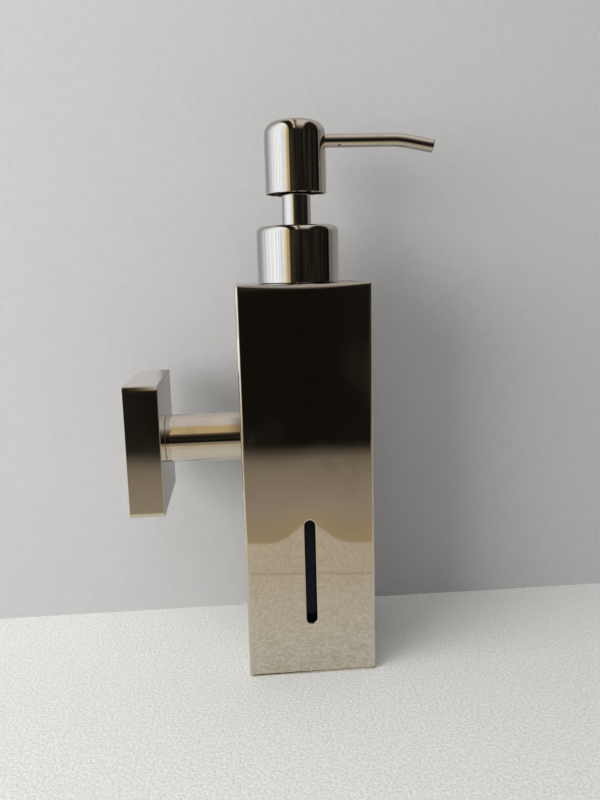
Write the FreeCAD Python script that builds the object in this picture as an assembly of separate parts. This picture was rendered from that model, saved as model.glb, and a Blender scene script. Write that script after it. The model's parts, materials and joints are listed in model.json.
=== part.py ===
import FreeCAD, Part
import os
from math import cos, pi, radians, sin, sqrt, tan

# Wall mounted soap dispenser: a square steel tube with a plastic bottle in it, carried by a round arm on a
# square wall flange, with a press pump on top. Millimetres, +Z up. The origin is the centre of the flange's
# wall face, on the arm's axis. +X runs along the arm, away from the wall. The level slot is in the -Y side.

V = FreeCAD.Vector
UP = V(0, 0, 1)
ALONG = V(1, 0, 0)

# Clearances
seat_gap = 0.2        # between the screwed-on collar and the top plate
running_gap = 0.06    # radial, a shaft or piston in its bore
loose_gap = 0.4       # radial, pieces that pass each other
slide_in_gap = 0.3    # each side, pieces that are put in place by hand
thread_gap = 0.03     # radial, a screw's shank in its tapped hole
contact_gap = 0.05    # between faces that turn on each other
ball_gap = 0.1        # between a ball and its seat
overrun = 1.0         # how far a cutter runs past what it cuts

# Wall flange
flange_size = 50.0
flange_depth = 13.0
flange_wall = 2.0
flange_corner_radius = 2.0
flange_edge_radius = 0.4

# Wall bracket
bracket_width = 40.0
bracket_thickness = 2.0
bracket_lip_depth = 8.0
set_screw_room = 3.8          # between the bracket's lower lip and the flange's bottom wall
wall_hole_diameter = 4.5
wall_slot_length = 8.0
wall_hole_spacing = 26.0

# Arm
arm_diameter = 19.0
arm_wall = 1.3
arm_length = 29.5
arm_height = 92.0             # axis above the underside of the body
arm_insert_length = 11.0

# Screws
screw_diameter = 5.0
screw_clearance = 0.25        # radial, in the sheet that it passes through
screw_head_diameter = 9.5
screw_head_height = 2.75
screw_head_dome = 1.65        # radius round the head's edge, at most its height
screw_length = 14.0
screw_socket_width = 3.0
screw_socket_depth = 1.6
lock_washer_thickness = 1.2
lock_washer_diameter = 9.2
lock_washer_split = 1.0
set_screw_diameter = 4.0
set_screw_recess = 0.2
set_screw_socket_width = 2.0
set_screw_socket_depth = 2.0

# Body
body_width = 50.0
body_depth = 50.0
body_height = 152.5           # underside to top
body_wall = 1.2
body_corner_radius = 1.2
top_plate_thickness = 1.5
top_edge_radius = 1.3
base_plate_thickness = 0.8
base_edge_radius = 0.2

# Level slot
slot_width = 4.2
slot_length = 42.0
slot_height = 21.0            # lower end above the underside
slot_edge_radius = 0.3

# Base plug
plug_gap = 0.1                # each side, in the tube
plug_floor = 3.0
plug_rim_height = 8.0

# Bottle
screw_head_room = 0.55        # between the body screw's head and the bottle
bottle_wall = 1.2
bottle_corner_radius = 6.0
bottle_edge_radius = 3.0
neck_wall = 2.1
neck_thread_height = 1.0      # how far the neck's thread stands out

# Collar and screw cap
collar_height = 21.7
collar_wall = 0.6
collar_edge_radius = 2.5
cap_wall = 1.5
cap_top_thickness = 2.5
cap_play = 0.1                # above the pump's flange

# Press head
stem_gap = 12.0               # collar to head, at rest
stop_gap = 0.5                # left when the head is pressed right down
head_diameter = 23.5
head_height = 26.8
head_wall = 0.6
head_edge_radius = 5.0
head_recess = 4.0             # core's underside above the shell's rim
sleeve_insert = 7.0           # stem inside the core

# Nozzle
nozzle_diameter = 5.0
nozzle_wall = 0.5
nozzle_drop = 7.2             # axis below the top of the head
nozzle_start = 4.0            # inner end from the stem's axis
nozzle_straight = 37.0        # start of the bend from the stem's axis
nozzle_reach = 53.6           # centre of the open end from the stem's axis
nozzle_bend_radius = 38.0
nozzle_bend_angle = 11.0      # degrees below level

# Stem and piston
stem_diameter = 11.2
sleeve_wall = 0.5
sleeve_overlap = 1.0          # sleeve below the guide collar, at rest
stem_tail_diameter = 6.0
stem_bore = 3.6
stem_bead_height = 1.0
stem_bead_width = 0.5
piston_height = 6.0
piston_groove_depth = 0.7
piston_lip_height = 1.6

# Pump housing
guide_wall = 1.34
guide_depth = 6.0
guide_flange_width = 1.0
housing_wall = 1.4
housing_flange_thickness = 1.5
housing_flange_inset = 0.2    # flange inside the neck's outer edge
neck_gap = 2.0                # between the housing and the neck's bore
gasket_thickness = 1.0
cage_thickness = 1.5
cage_hole_diameter = 3.6
cage_slot_width = 1.2
socket_depth = 10.0
socket_web = 1.0
dip_tube_diameter = 7.0
dip_tube_wall = 0.8
dip_tube_gap = 3.0            # above the bottle's floor
dip_tube_cut_angle = 30.0     # degrees from level

# Balls
inlet_ball_diameter = 5.5
inlet_ball_room = 0.65        # radial, round the ball
inlet_hole_diameter = 3.6
outlet_ball_diameter = 4.8
outlet_ball_room = 0.6
ball_lift = 1.5

# Return spring
spring_wire = 0.9
spring_mean_diameter = 9.0
spring_length = 21.0
spring_turns = 7.0

# Places worked out from the values above
body_left = flange_depth + arm_length
pump_x = body_left + body_width / 2
body_bottom = -arm_height
body_top = body_bottom + body_height
tube_bottom = body_bottom + base_plate_thickness
tube_top = body_top - top_plate_thickness
screw_hole_radius = screw_diameter / 2 + screw_clearance
flange_inside = flange_depth - flange_wall

stem_radius = stem_diameter / 2
guide_bore_radius = stem_radius + running_gap
guide_radius = guide_bore_radius + guide_wall
barrel_radius = guide_radius + housing_wall
neck_bore_radius = barrel_radius + neck_gap
neck_radius = neck_bore_radius + neck_wall
thread_radius = neck_radius + neck_thread_height
cap_bore_radius = thread_radius + loose_gap
cap_radius = cap_bore_radius + cap_wall
collar_radius = cap_radius + collar_wall
chamber_radius = stem_radius + loose_gap
chamber_outer_radius = chamber_radius + housing_wall

collar_bottom = body_top + seat_gap
collar_top = body_top + collar_height
cap_top = collar_top - collar_wall
flange_top = cap_top - cap_top_thickness - cap_play
gasket_top = flange_top - housing_flange_thickness
neck_top = gasket_top - gasket_thickness
guide_bottom = flange_top - guide_depth
guide_top = cap_top - contact_gap
sleeve_bottom = guide_bottom - sleeve_overlap
piston_top = sleeve_bottom - contact_gap
piston_bottom = piston_top - piston_height
spring_bottom = piston_bottom - spring_length
cage_bottom = spring_bottom - cage_thickness

head_bottom = collar_top + stem_gap
head_top = head_bottom + head_height
core_bottom = head_bottom + head_recess
stem_top = core_bottom + sleeve_insert
nozzle_z = head_top - nozzle_drop

liner_gap = screw_head_height + screw_head_room
bottle_width = body_width - 2 * (body_wall + liner_gap)
bottle_depth = body_depth - 2 * (body_wall + liner_gap)
bottle_bottom = tube_bottom + plug_floor
press_stroke = stem_gap - stop_gap


def cylinder(radius, low, high, x=pump_x):
    """Upright cylinder between two heights."""
    return Part.makeCylinder(radius, high - low, V(x, 0, low), UP)


def bar(radius, start, end, z=0.0):
    """Cylinder along X between two places."""
    return Part.makeCylinder(radius, end - start, V(start, 0, z), ALONG)


def block(x_low, x_high, y_low, y_high, z_low, z_high):
    return Part.makeBox(x_high - x_low, y_high - y_low, z_high - z_low, V(x_low, y_low, z_low))


def centred_block(width, depth, low, high):
    """Block centred on the pump's axis."""
    return block(pump_x - width / 2, pump_x + width / 2, -depth / 2, depth / 2, low, high)


def is_along(edge, direction):
    ends = edge.Vertexes
    if len(ends) != 2 or not isinstance(edge.Curve, Part.Line):
        return False
    run = ends[1].Point.sub(ends[0].Point).normalize()
    return abs(run.dot(direction)) > 0.999


def edges_along(shape, direction):
    return [edge for edge in shape.Edges if is_along(edge, direction)]


def edges_in_plane(shape, direction, place):
    """Edges that lie wholly in the plane at that place along a direction."""
    def lies_in(edge):
        box = edge.BoundBox
        low = V(box.XMin, box.YMin, box.ZMin).dot(direction)
        high = V(box.XMax, box.YMax, box.ZMax).dot(direction)
        return abs(low - place) < 1e-4 and abs(high - place) < 1e-4
    return [edge for edge in shape.Edges if lies_in(edge)]


def turned(profile):
    """Solid of revolution about the pump's axis, from (radius, height) corners."""
    points = [V(pump_x + radius, 0, z) for radius, z in profile]
    face = Part.Face(Part.makePolygon(points + points[:1]))
    return face.revolve(V(pump_x, 0, 0), UP, 360)


def hexagon(width_across_flats, centre, direction, depth):
    """Hexagonal prism for a screw's socket."""
    corner = width_across_flats / 2 / cos(radians(30))
    side = ALONG if abs(direction.x) < 0.5 else V(0, 1, 0)
    other = direction.cross(side)
    corners = [centre + side * (corner * cos(radians(60 * i))) + other * (corner * sin(radians(60 * i)))
               for i in range(6)]
    return Part.Face(Part.makePolygon(corners + corners[:1])).extrude(direction * depth)


def round_ended(width, length, centre, run, sweep):
    """Round-ended slot cutter: length along run, pushed through along sweep."""
    half = (length - width) / 2
    across = run.cross(V(sweep).normalize()) * (width / 2)
    first, last = centre - run * half, centre + run * half
    outline = Part.Wire([
        Part.makeLine(first + across, last + across),
        Part.Arc(last + across, last + run * (width / 2), last - across).toShape(),
        Part.makeLine(last - across, first - across),
        Part.Arc(first - across, first - run * (width / 2), first + across).toShape(),
    ])
    return Part.Face(outline).extrude(sweep)


def ball_height(ball_radius, pocket_radius, pocket_floor):
    """Centre height of a ball resting on the 45 degree cone below its pocket."""
    return pocket_floor - pocket_radius + ball_radius * sqrt(2) + ball_gap


# Wall fixing and arm

def wall_bracket():
    top = flange_size / 2 - flange_wall - slide_in_gap
    bottom = -flange_size / 2 + flange_wall + set_screw_room
    half = bracket_width / 2
    plate = block(0, bracket_thickness, -half, half, bottom, top)
    upper_lip = block(0, bracket_lip_depth, -half, half, top - bracket_thickness, top)
    lower_lip = block(0, bracket_lip_depth, -half, half, bottom, bottom + bracket_thickness)
    bracket = plate.fuse([upper_lip, lower_lip]).removeSplitter()
    for side in (-1, 1):
        centre = V(-overrun, side * wall_hole_spacing / 2, 0)
        through = ALONG * (bracket_thickness + 2 * overrun)
        bracket = bracket.cut(round_ended(wall_hole_diameter, wall_slot_length, centre, V(0, 1, 0), through))
    return bracket


def flange_cover():
    half = flange_size / 2
    box = block(0, flange_depth, -half, half, -half, half)
    box = box.makeFillet(flange_corner_radius, edges_along(box, ALONG))
    box = box.makeFillet(flange_edge_radius, edges_in_plane(box, ALONG, flange_depth))
    inner = half - flange_wall
    hollow = block(-overrun, flange_inside, -inner, inner, -inner, inner)
    screw_hole = bar(screw_hole_radius, flange_inside - overrun, flange_depth + overrun)
    set_hole = cylinder(set_screw_diameter / 2 + thread_gap, -half - overrun, -inner + overrun,
                        x=set_screw_x())
    return box.cut([hollow, screw_hole, set_hole])


def set_screw_x():
    """The set screw presses on the middle of the bracket's lower lip."""
    return (bracket_thickness + bracket_lip_depth) / 2


def flange_set_screw():
    low = -flange_size / 2 + set_screw_recess
    high = -flange_size / 2 + flange_wall + set_screw_room
    screw = cylinder(set_screw_diameter / 2, low, high, x=set_screw_x())
    socket = hexagon(set_screw_socket_width, V(set_screw_x(), 0, low), UP, set_screw_socket_depth)
    return screw.cut(socket)


def button_screw(seat, outward):
    """Screw with its head's seat at an X place. outward is the side that its head is on, -1 or 1."""
    head_end = seat + outward * screw_head_height
    shank_end = seat - outward * screw_length
    head = bar(screw_head_diameter / 2, min(seat, head_end), max(seat, head_end))
    rim = edges_in_plane(head, ALONG, head_end)
    head = head.makeFillet(screw_head_dome, rim)
    shank = bar(screw_diameter / 2, min(seat, shank_end), max(seat, shank_end))
    socket = hexagon(screw_socket_width, V(head_end, 0, 0), ALONG * -outward, screw_socket_depth)
    return head.fuse(shank).removeSplitter().cut(socket)


def flange_screw():
    return button_screw(flange_inside - lock_washer_thickness, -1)


def flange_lock_washer():
    start = flange_inside - lock_washer_thickness
    ring = bar(lock_washer_diameter / 2, start, flange_inside).cut(
        bar(screw_diameter / 2 + thread_gap, start - overrun, flange_inside + overrun))
    split = block(start - overrun, flange_inside + overrun, -lock_washer_split / 2, lock_washer_split / 2,
                  0, lock_washer_diameter)
    return ring.cut(split)


def arm_tube():
    outer = bar(arm_diameter / 2, flange_depth, body_left)
    return outer.cut(bar(arm_diameter / 2 - arm_wall, flange_depth - overrun, body_left + overrun))


def arm_insert(start):
    plug = bar(arm_diameter / 2 - arm_wall, start, start + arm_insert_length)
    tapped = bar(screw_diameter / 2 + thread_gap, start - overrun, start + arm_insert_length + overrun)
    return plug.cut(tapped)


def body_screw():
    return button_screw(body_left + body_wall, 1)


# Body

def level_slot(depth_in):
    """Cutter for the slot in the front wall."""
    centre = V(pump_x, -body_depth / 2 - overrun, body_bottom + slot_height + slot_length / 2)
    return round_ended(slot_width, slot_length, centre, UP, V(0, depth_in + overrun, 0))


def body_tube():
    tube = centred_block(body_width, body_depth, tube_bottom, tube_top)
    tube = tube.makeFillet(body_corner_radius, edges_along(tube, UP))
    tube = tube.cut(centred_block(body_width - 2 * body_wall, body_depth - 2 * body_wall,
                                  tube_bottom - overrun, tube_top + overrun))
    arm_hole = bar(screw_hole_radius, body_left - overrun, body_left + body_wall + overrun)
    tube = tube.cut([level_slot(body_wall * 2), arm_hole])
    slot_top = body_bottom + slot_height + slot_length
    rim = [edge for edge in edges_in_plane(tube, V(0, 1, 0), -body_depth / 2)
           if edge.BoundBox.ZMin > body_bottom + slot_height - 1e-4
           and edge.BoundBox.ZMax < slot_top + 1e-4
           and abs(edge.BoundBox.Center.x - pump_x) < slot_width]
    return tube.makeFillet(slot_edge_radius, rim)


def top_plate():
    plate = centred_block(body_width, body_depth, tube_top, body_top)
    plate = plate.makeFillet(body_corner_radius, edges_along(plate, UP))
    plate = plate.makeFillet(top_edge_radius, edges_in_plane(plate, UP, body_top))
    return plate.cut(cylinder(thread_radius + loose_gap, tube_top - overrun, body_top + overrun))


def base_plate():
    plate = centred_block(body_width, body_depth, body_bottom, tube_bottom)
    plate = plate.makeFillet(body_corner_radius, edges_along(plate, UP))
    return plate.makeFillet(base_edge_radius, edges_in_plane(plate, UP, body_bottom))


def base_plug():
    inner = 2 * (body_wall + plug_gap)
    tray = centred_block(body_width - inner, body_depth - inner, tube_bottom,
                         bottle_bottom + plug_rim_height)
    seat = centred_block(bottle_width + 2 * slide_in_gap, bottle_depth + 2 * slide_in_gap,
                         bottle_bottom, bottle_bottom + plug_rim_height + overrun)
    return tray.cut(seat)


def liner_bottle():
    outer = centred_block(bottle_width, bottle_depth, bottle_bottom, tube_top)
    outer = outer.makeFillet(bottle_corner_radius, edges_along(outer, UP))
    ends = edges_in_plane(outer, UP, bottle_bottom) + edges_in_plane(outer, UP, tube_top)
    outer = outer.makeFillet(bottle_edge_radius, ends)
    outer = outer.fuse(cylinder(neck_radius, tube_top - bottle_wall, neck_top)).removeSplitter()
    inner = centred_block(bottle_width - 2 * bottle_wall, bottle_depth - 2 * bottle_wall,
                          bottle_bottom + bottle_wall, tube_top - bottle_wall)
    inner = inner.makeFillet(bottle_corner_radius - bottle_wall, edges_along(inner, UP))
    bore = cylinder(neck_bore_radius, tube_top - 2 * bottle_wall, neck_top + overrun)
    return outer.cut(inner.fuse(bore))


# Pump: what screws on and stays still

def collar_shell():
    outer = cylinder(collar_radius, collar_bottom, collar_top)
    outer = outer.makeFillet(collar_edge_radius, edges_in_plane(outer, UP, collar_top))
    inner = cylinder(cap_radius, collar_bottom - overrun, cap_top)
    inner = inner.makeFillet(collar_edge_radius - collar_wall, edges_in_plane(inner, UP, cap_top))
    return outer.cut([inner, cylinder(stem_radius + loose_gap, cap_top - overrun, collar_top + overrun)])


def closure_cap():
    cap = cylinder(cap_radius, collar_bottom, cap_top)
    cap = cap.makeFillet(collar_edge_radius - collar_wall, edges_in_plane(cap, UP, cap_top))
    bore = cylinder(cap_bore_radius, collar_bottom - overrun, cap_top - cap_top_thickness)
    hole = cylinder(guide_radius + guide_flange_width + loose_gap,
                    cap_top - cap_top_thickness - overrun, cap_top + overrun)
    return cap.cut([bore, hole])


def housing_gasket():
    ring = cylinder(neck_radius - housing_flange_inset, neck_top, gasket_top)
    return ring.cut(cylinder(barrel_radius, neck_top - overrun, gasket_top + overrun))


def inlet_pocket_floor():
    """Height where the inlet ball's pocket turns into its cone."""
    ball = inlet_ball_diameter / 2
    pocket = ball + inlet_ball_room
    return cage_bottom - ball_lift - ball - (ball_height(ball, pocket, 0))


def socket_top():
    pocket = inlet_ball_diameter / 2 + inlet_ball_room
    cone_bottom = inlet_pocket_floor() - (pocket - inlet_hole_diameter / 2)
    return cone_bottom - socket_web


def pump_housing():
    pocket = inlet_ball_diameter / 2 + inlet_ball_room
    floor = inlet_pocket_floor()
    hole = inlet_hole_diameter / 2
    cone_bottom = floor - (pocket - hole)
    tube = dip_tube_diameter / 2
    shoulder = guide_bottom - housing_wall
    flange = neck_radius - housing_flange_inset
    boss = max(pocket, tube) + housing_wall
    return turned([
        (flange, flange_top), (flange, gasket_top), (barrel_radius, gasket_top), (barrel_radius, shoulder),
        (chamber_outer_radius, shoulder), (chamber_outer_radius, cage_bottom - housing_wall),
        (boss, cage_bottom - housing_wall), (boss, socket_top() - socket_depth),
        (tube, socket_top() - socket_depth), (tube, socket_top()), (hole, socket_top()),
        (hole, cone_bottom), (pocket, floor), (pocket, cage_bottom), (chamber_radius, cage_bottom),
        (chamber_radius, guide_bottom), (guide_radius, guide_bottom), (guide_radius, flange_top),
    ])


def guide_collar():
    return turned([
        (guide_bore_radius, guide_bottom), (guide_radius, guide_bottom), (guide_radius, flange_top),
        (guide_radius + guide_flange_width, flange_top), (guide_radius + guide_flange_width, guide_top),
        (guide_bore_radius, guide_top),
    ])


def dip_tube_bottom():
    return bottle_bottom + bottle_wall + dip_tube_gap


def dip_tube():
    radius = dip_tube_diameter / 2
    low = dip_tube_bottom()
    bore = cylinder(radius - dip_tube_wall, low - overrun, socket_top() + overrun)
    tube = cylinder(radius, low, socket_top()).cut(bore)
    rise = 2 * radius * tan(radians(dip_tube_cut_angle))
    corners = [V(pump_x - radius, -radius, low), V(pump_x + radius, -radius, low),
               V(pump_x + radius, -radius, low + rise)]
    wedge = Part.Face(Part.makePolygon(corners + corners[:1])).extrude(V(0, 2 * radius, 0))
    return tube.cut(wedge)


def ball_cage():
    cage = cylinder(chamber_radius, cage_bottom, spring_bottom)
    cage = cage.cut(cylinder(cage_hole_diameter / 2, cage_bottom - overrun, spring_bottom + overrun))
    reach = inlet_ball_diameter / 2 + inlet_ball_room
    for turn in (0, 60, 120):
        slot = centred_block(2 * reach, cage_slot_width, cage_bottom - overrun, spring_bottom + overrun)
        slot.rotate(V(pump_x, 0, 0), UP, turn)
        cage = cage.cut(slot)
    return cage


def inlet_ball():
    radius = inlet_ball_diameter / 2
    height = ball_height(radius, radius + inlet_ball_room, inlet_pocket_floor())
    return Part.makeSphere(radius, V(pump_x, 0, height))


def return_spring():
    wire = spring_wire / 2
    radius = spring_mean_diameter / 2
    run = spring_length - spring_wire
    path = Part.makeHelix(run / spring_turns, run, radius)
    lead = V(0, 2 * pi * radius, run / spring_turns).normalize()
    section = Part.Wire(Part.makeCircle(wire, V(radius, 0, 0), lead))
    coil = Part.Wire(path).makePipeShell([section], True, True)
    coil.translate(V(pump_x, 0, spring_bottom + wire))
    trim = cylinder(chamber_radius, spring_bottom, piston_bottom)
    return coil.common(trim)


# Pump: what moves

def piston():
    outer = chamber_radius - running_gap
    waist = outer - piston_groove_depth
    inner = stem_tail_diameter / 2 + running_gap
    return turned([
        (inner, piston_bottom), (outer, piston_bottom), (outer, piston_bottom + piston_lip_height),
        (waist, piston_bottom + piston_lip_height), (waist, piston_top - piston_lip_height),
        (outer, piston_top - piston_lip_height), (outer, piston_top), (inner, piston_top),
    ])


def outlet_pocket_floor():
    ball = outlet_ball_diameter / 2
    return stem_top - ball_lift - ball - ball_height(ball, ball + outlet_ball_room, 0)


def stem_tube():
    upper = stem_radius - sleeve_wall
    tail = stem_tail_diameter / 2
    bead = tail + stem_bead_width
    bead_top = piston_bottom - contact_gap
    bore = stem_bore / 2
    pocket = outlet_ball_diameter / 2 + outlet_ball_room
    floor = outlet_pocket_floor()
    return turned([
        (bore, bead_top - stem_bead_height), (tail, bead_top - stem_bead_height), (bead, bead_top),
        (tail, bead_top), (tail, sleeve_bottom), (upper, sleeve_bottom), (upper, stem_top),
        (pocket, stem_top), (pocket, floor), (bore, floor - (pocket - bore)),
    ])


def stem_sleeve():
    sleeve = cylinder(stem_radius, sleeve_bottom, stem_top)
    return sleeve.cut(cylinder(stem_radius - sleeve_wall, sleeve_bottom - overrun, stem_top + overrun))


def outlet_ball():
    radius = outlet_ball_diameter / 2
    height = ball_height(radius, radius + outlet_ball_room, outlet_pocket_floor())
    return Part.makeSphere(radius, V(pump_x, 0, height))


def head_blank(radius, low, high, edge):
    blank = cylinder(radius, low, high)
    return blank.makeFillet(edge, edges_in_plane(blank, UP, high))


def head_shell():
    shell = head_blank(head_diameter / 2, head_bottom, head_top, head_edge_radius)
    inner = head_blank(head_diameter / 2 - head_wall, head_bottom - overrun, head_top - head_wall,
                       head_edge_radius - head_wall)
    return shell.cut([inner, bar(nozzle_diameter / 2, pump_x, pump_x + head_diameter, z=nozzle_z)])


def head_core():
    core = head_blank(head_diameter / 2 - head_wall, core_bottom, head_top - head_wall,
                      head_edge_radius - head_wall)
    socket = cylinder(stem_radius, core_bottom - overrun, stem_top)
    channel = cylinder(nozzle_diameter / 2 - nozzle_wall, stem_top - overrun, nozzle_z)
    turn = Part.makeSphere(nozzle_diameter / 2 - nozzle_wall, V(pump_x, 0, nozzle_z))
    outlet = bar(nozzle_diameter / 2 - nozzle_wall, pump_x, pump_x + nozzle_start + overrun, z=nozzle_z)
    seat = bar(nozzle_diameter / 2, pump_x + nozzle_start, pump_x + head_diameter, z=nozzle_z)
    return core.cut(socket.fuse([channel, turn, outlet, seat]))


def nozzle_path():
    """Centre line of the spout: level, one bend, then a short straight end."""
    angle = radians(nozzle_bend_angle)
    bend_start = V(pump_x + nozzle_straight, 0, nozzle_z)
    centre = bend_start - UP * nozzle_bend_radius
    middle = centre + V(sin(angle / 2), 0, cos(angle / 2)) * nozzle_bend_radius
    bend_end = centre + V(sin(angle), 0, cos(angle)) * nozzle_bend_radius
    tip_x = pump_x + nozzle_reach
    tip = V(tip_x, 0, bend_end.z - (tip_x - bend_end.x) * tan(angle))
    start = V(pump_x + nozzle_start, 0, nozzle_z)
    return Part.Wire([Part.makeLine(start, bend_start), Part.Arc(bend_start, middle, bend_end).toShape(),
                      Part.makeLine(bend_end, tip)])


def nozzle_tube():
    start = V(pump_x + nozzle_start, 0, nozzle_z)
    outer, inner = [
        nozzle_path().makePipeShell([Part.Wire(Part.makeCircle(radius, start, ALONG))], True, False)
        for radius in (nozzle_diameter / 2, nozzle_diameter / 2 - nozzle_wall)]
    return outer.cut(inner)


PIECES = {
    "wall_bracket": wall_bracket,
    "flange_cover": flange_cover,
    "flange_set_screw": flange_set_screw,
    "flange_screw": flange_screw,
    "flange_lock_washer": flange_lock_washer,
    "arm_tube": arm_tube,
    "arm_insert_flange_end": lambda: arm_insert(flange_depth),
    "arm_insert_body_end": lambda: arm_insert(body_left - arm_insert_length),
    "body_screw": body_screw,
    "body_tube": body_tube,
    "top_plate": top_plate,
    "base_plate": base_plate,
    "base_plug": base_plug,
    "liner_bottle": liner_bottle,
    "collar_shell": collar_shell,
    "closure_cap": closure_cap,
    "housing_gasket": housing_gasket,
    "pump_housing": pump_housing,
    "guide_collar": guide_collar,
    "dip_tube": dip_tube,
    "ball_cage": ball_cage,
    "inlet_ball": inlet_ball,
    "return_spring": return_spring,
    "piston": piston,
    "stem_tube": stem_tube,
    "stem_sleeve": stem_sleeve,
    "outlet_ball": outlet_ball,
    "head_core": head_core,
    "head_shell": head_shell,
    "nozzle_tube": nozzle_tube,
}

os.makedirs("parts", exist_ok=True)
for name, make in PIECES.items():
    shape = make()
    if len(shape.Solids) != 1 or not shape.isValid():
        raise ValueError(f"{name} is not one valid solid")
    shape.Solids[0].exportStep(f"parts/{name}.step")
    print(f"{name:24s}{shape.Volume / 1000:8.2f} cm3")

print(f"pump axis x {pump_x:.2f}, body z {body_bottom:.2f} to {body_top:.2f}, head top {head_top:.2f}")
print(f"press stroke {press_stroke:.2f}, dip tube clears the neck after {neck_top - dip_tube_bottom():.2f}")
print(f"spring at {spring_bottom:.2f}, pressed length {spring_length - press_stroke:.2f},"
      f" solid length {(spring_turns + 1) * spring_wire:.2f}")
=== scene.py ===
# %% [markdown]
# # Wall mounted soap dispenser
# A square tube of polished steel holds a dark plastic bottle. A round arm carries it from a square wall
# flange, and a press pump with a thin bent spout stands on top. The engineering model already fixes every
# size and axis, so this lesson loads it as a frame and only gives it its real skins and finishes.

# %% Load the fixed frame
import json
from math import cos, exp, pi, radians, sin, sqrt, tan, tau

import bmesh
import bpy
from mathutils import Matrix, Vector

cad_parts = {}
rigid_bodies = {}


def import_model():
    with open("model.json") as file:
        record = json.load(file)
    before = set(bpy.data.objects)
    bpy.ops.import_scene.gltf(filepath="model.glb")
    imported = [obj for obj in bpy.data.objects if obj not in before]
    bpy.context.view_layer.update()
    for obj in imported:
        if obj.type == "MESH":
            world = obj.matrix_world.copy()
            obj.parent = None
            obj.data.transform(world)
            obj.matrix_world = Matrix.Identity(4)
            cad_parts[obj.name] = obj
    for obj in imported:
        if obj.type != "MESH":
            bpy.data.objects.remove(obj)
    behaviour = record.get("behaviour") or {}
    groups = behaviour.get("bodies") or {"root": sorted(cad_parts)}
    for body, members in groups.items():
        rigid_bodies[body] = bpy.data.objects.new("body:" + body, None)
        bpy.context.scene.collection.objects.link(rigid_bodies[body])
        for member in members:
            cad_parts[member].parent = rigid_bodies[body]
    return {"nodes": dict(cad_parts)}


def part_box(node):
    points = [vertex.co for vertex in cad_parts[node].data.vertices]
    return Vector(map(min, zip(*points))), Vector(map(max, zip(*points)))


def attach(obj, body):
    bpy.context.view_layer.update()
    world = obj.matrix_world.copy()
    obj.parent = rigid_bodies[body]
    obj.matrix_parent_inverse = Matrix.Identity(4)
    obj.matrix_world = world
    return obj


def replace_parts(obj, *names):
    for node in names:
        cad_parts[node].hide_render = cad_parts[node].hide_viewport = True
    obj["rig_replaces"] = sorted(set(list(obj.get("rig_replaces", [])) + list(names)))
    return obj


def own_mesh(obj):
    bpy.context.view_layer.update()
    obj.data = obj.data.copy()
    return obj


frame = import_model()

scene = bpy.context.scene
nodes = frame["nodes"]
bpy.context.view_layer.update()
MM = 0.001

# %% [markdown]
# Every place comes from the boxes of the engineering nodes. Two axes matter: the pump's upright axis, and
# the arm's level axis, which runs along X through the origin.

# %% Places and axes
tube_low, tube_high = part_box("body_tube")
plate_low, plate_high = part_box("top_plate")
pump_x = (plate_low.x + plate_high.x) / 2
floor_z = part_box("base_plate")[0].z


def on_pump_axis(across, back, up):
    return Vector((pump_x + across, back, up))


def on_arm_axis(across, up, along):
    return Vector((along, across, up))


print("pump axis at", round(pump_x / MM, 2), "mm, underside at", round(floor_z / MM, 2), "mm")

# %% [markdown]
# ## Camera
# The camera stands a forearm's length away, a little above the collar, and looks slightly down and to the
# right. It is rolled by a degree and a half, as a camera held in the hand is. A matrix whose columns are the
# camera's right, up and backward directions says all of that at once.

# %% Camera
CAMERA_PLACE = Vector((0.0446, -0.300, 0.0663))
CAMERA_YAW, CAMERA_PITCH, CAMERA_ROLL = radians(4.25), radians(9.95), radians(-1.56)
forward = Vector((sin(CAMERA_YAW) * cos(CAMERA_PITCH), cos(CAMERA_YAW) * cos(CAMERA_PITCH),
                  -sin(CAMERA_PITCH)))
level_right = Vector((cos(CAMERA_YAW), -sin(CAMERA_YAW), 0))
level_up = level_right.cross(forward)
right = level_right * cos(CAMERA_ROLL) + level_up * sin(CAMERA_ROLL)
upward = level_up * cos(CAMERA_ROLL) - level_right * sin(CAMERA_ROLL)
camera = bpy.data.objects.new("camera", bpy.data.cameras.new("camera"))
scene.collection.objects.link(camera)
turn = Matrix((right, upward, -forward)).transposed()
camera.matrix_world = Matrix.Translation(CAMERA_PLACE) @ turn.to_4x4()
camera.data.sensor_width = 36
camera.data.lens = 33.97
camera.data.clip_start = 0.01
scene.camera = camera
print("camera looks along", [round(c, 3) for c in forward])

# %% [markdown]
# ## Helpers for node trees
# Shaders and Geometry Nodes are graphs. One small helper adds a node, sets or links its sockets by name, and
# returns it, so that each finish below reads as a short recipe. A socket without a name of its own is given
# by its number, as `i0` or `i1`.

# %% A helper that puts a node in a tree


def put(tree, kind, settings=None, **sockets):
    made = tree.nodes.new(kind)
    for name, value in (settings or {}).items():
        setattr(made, name, value)
    for name, value in sockets.items():
        numbered = name[0] == "i" and name[1:].isdigit()
        socket = made.inputs[int(name[1:]) if numbered else name.replace("_", " ")]
        if isinstance(value, bpy.types.NodeSocket):
            tree.links.new(value, socket)
        else:
            socket.default_value = value
    return made


def maths(tree, operation, *values):
    inputs = {f"i{k}": value for k, value in enumerate(values)}
    return put(tree, "ShaderNodeMath", {"operation": operation}, **inputs).outputs[0]


def times(tree, first, second):
    return maths(tree, "MULTIPLY", first, second)


def plus(tree, first, second):
    return maths(tree, "ADD", first, second)


def ramp(tree, factor, stops):
    """Colour ramp from (place, colour) stops."""
    made = put(tree, "ShaderNodeValToRGB", i0=factor)
    elements = made.color_ramp.elements
    while len(elements) < len(stops):
        elements.new(0.5)
    for element, (place, colour) in zip(elements, sorted(stops, key=lambda stop: stop[0])):
        element.position = place
        element.color = (*colour, 1)
    return made.outputs[0]


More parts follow.
